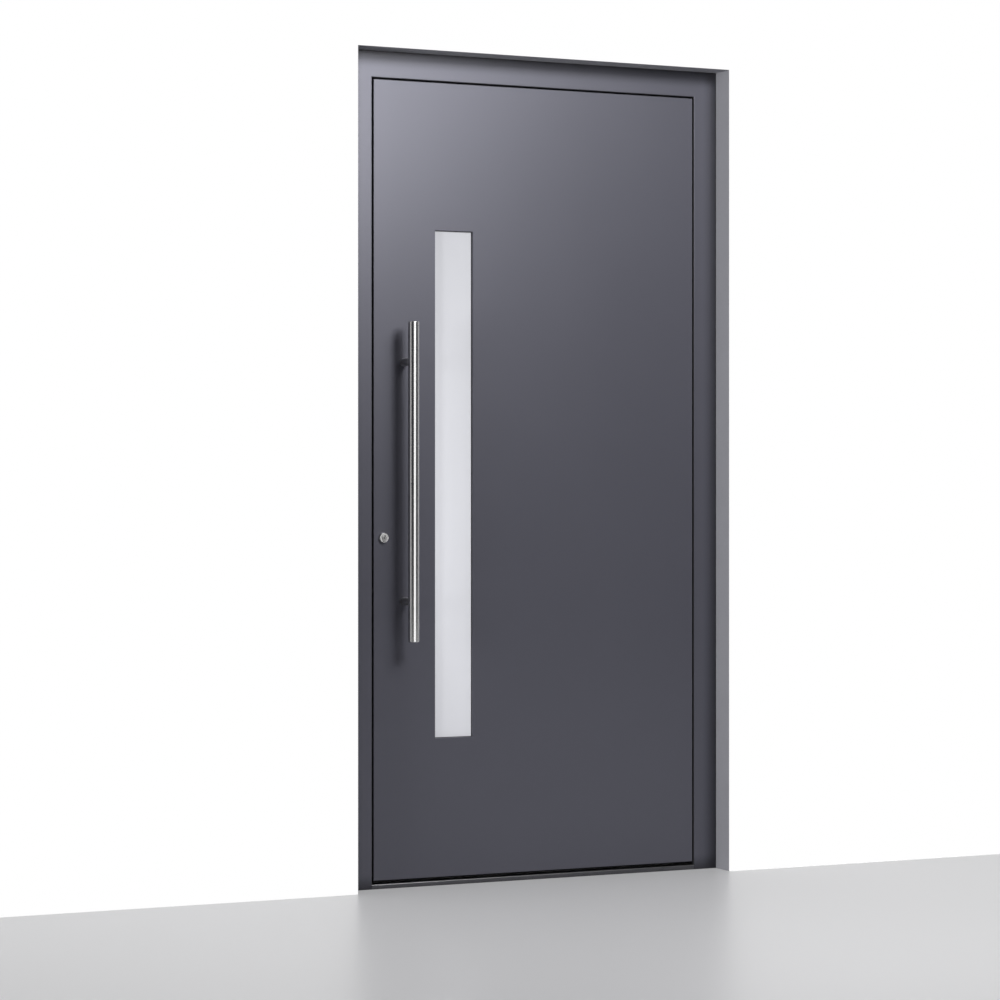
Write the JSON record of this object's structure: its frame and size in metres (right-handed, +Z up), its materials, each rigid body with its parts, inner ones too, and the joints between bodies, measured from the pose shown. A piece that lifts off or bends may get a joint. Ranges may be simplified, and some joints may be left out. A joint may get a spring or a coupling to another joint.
{
  "type": "entry door",
  "caption": "Flush entry door in its frame and reveal lining, with a vertical glass slit, a round pull bar, a lock with a key plug, and a leaf that swings inwards.",
  "frame": {"origin": "centre of the threshold's underside, where the door stands on the floor", "axes": "+Z up, +Y from the outside towards the room, +X to the right as seen from outside"},
  "size_m": [1.058, 0.2215, 2.104],
  "materials": {
    "powder_coat": "fine satin powder coat, anthracite with a slight metallic effect",
    "lining_coat": "fine matt powder coat, lighter anthracite",
    "profile_metal": "satin powder coat",
    "threshold_metal": "dark anodised",
    "seal_rubber": "matt black",
    "insulation": "rigid foam",
    "satin_glass": "satin white",
    "clear_glass": "clear",
    "spacer": "black warm-edge spacer",
    "stainless": "fine brushed stainless steel",
    "hinge_metal": "satin anthracite"
  },
  "bodies": {
    "frame": {"frame_lock_jamb": "powder_coat", "frame_hinge_jamb": "powder_coat", "frame_head": "powder_coat", "reveal_lining_lock_side": "lining_coat", "reveal_lining_hinge_side": "lining_coat", "reveal_lining_head": "lining_coat", "frame_seal_lock_side": "seal_rubber", "frame_seal_hinge_side": "seal_rubber", "frame_seal_head": "seal_rubber", "threshold": "threshold_metal", "keeper_plate_lower": "stainless", "keeper_plate_main": "stainless", "keeper_plate_upper": "stainless", "hinge_frame_half_lower": "hinge_metal", "hinge_frame_half_middle": "hinge_metal", "hinge_frame_half_upper": "hinge_metal", "hinge_pin_lower": "hinge_metal", "hinge_pin_middle": "hinge_metal", "hinge_pin_upper": "hinge_metal"},
    "leaf": {"leaf_outer_skin": "powder_coat", "leaf_inner_skin": "powder_coat", "leaf_lock_stile": "profile_metal", "leaf_hinge_stile": "profile_metal", "leaf_top_rail": "profile_metal", "leaf_bottom_rail": "profile_metal", "leaf_core": "insulation", "glazing_channel": "powder_coat", "glass_outer_pane": "satin_glass", "glass_outer_spacer": "spacer", "glass_middle_pane": "clear_glass", "glass_inner_spacer": "spacer", "glass_inner_pane": "satin_glass", "glazing_bead": "powder_coat", "leaf_bottom_seal": "seal_rubber", "pull_bar": "stainless", "pull_bar_standoff_upper": "stainless", "pull_bar_standoff_lower": "stainless", "lock_rosette": "stainless", "lock_cylinder": "stainless", "inner_cylinder_rose": "stainless", "inner_lever_rose": "stainless", "inner_lever": "stainless", "lock_plate": "stainless", "hinge_leaf_half_lower": "hinge_metal", "hinge_leaf_half_middle": "hinge_metal", "hinge_leaf_half_upper": "hinge_metal"},
    "plug": {"key_plug": "stainless"}
  },
  "joints": [
    {"name": "door_swing", "type": "hinge", "parent": "frame", "child": "leaf", "pos_m": [0.4764, 0.052, 1.03], "axis": [0, 0, -1], "range_deg": [0, 100]},
    {"name": "key_plug_turn", "type": "hinge", "parent": "leaf", "child": "plug", "pos_m": [-0.4282, -0.049, 0.88], "axis": [0, -1, 0], "continuous": true}
  ]
}
